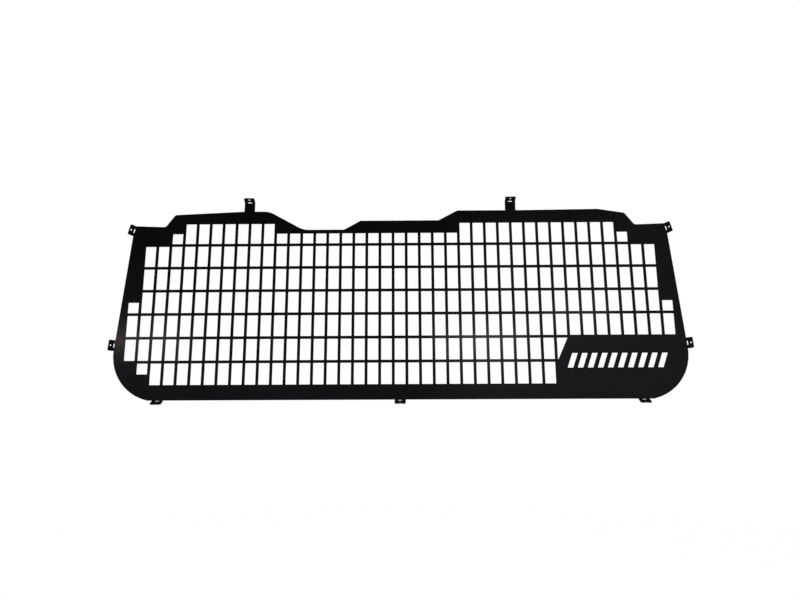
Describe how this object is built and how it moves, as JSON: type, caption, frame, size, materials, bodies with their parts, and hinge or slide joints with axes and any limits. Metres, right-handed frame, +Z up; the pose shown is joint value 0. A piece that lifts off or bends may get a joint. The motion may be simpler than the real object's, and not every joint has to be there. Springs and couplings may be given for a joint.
{
  "type": "headache rack",
  "caption": "Flat perforated steel guard with upright rectangular holes, a solid lower corner and folded screw tabs round its edge.",
  "frame": {"origin": "middle of the screw hole in the bottom centre tab's flange", "axes": "+X to the right along the guard's length, +Z up, and the guard's front and the folded flanges face -Y"},
  "size_m": [1.3762, 0.0139, 0.5009],
  "materials": {
    "powder_coat": "semi-gloss black powder coat"
  },
  "bodies": {
    "root": {"guard_panel": "powder_coat", "tab_corner_left": "powder_coat", "tab_corner_right": "powder_coat", "tab_top_left": "powder_coat", "tab_top_right": "powder_coat", "tab_side_left": "powder_coat", "tab_side_right": "powder_coat", "tab_bottom_left": "powder_coat", "tab_bottom_centre": "powder_coat", "tab_bottom_right": "powder_coat"}
  },
  "joints": []
}
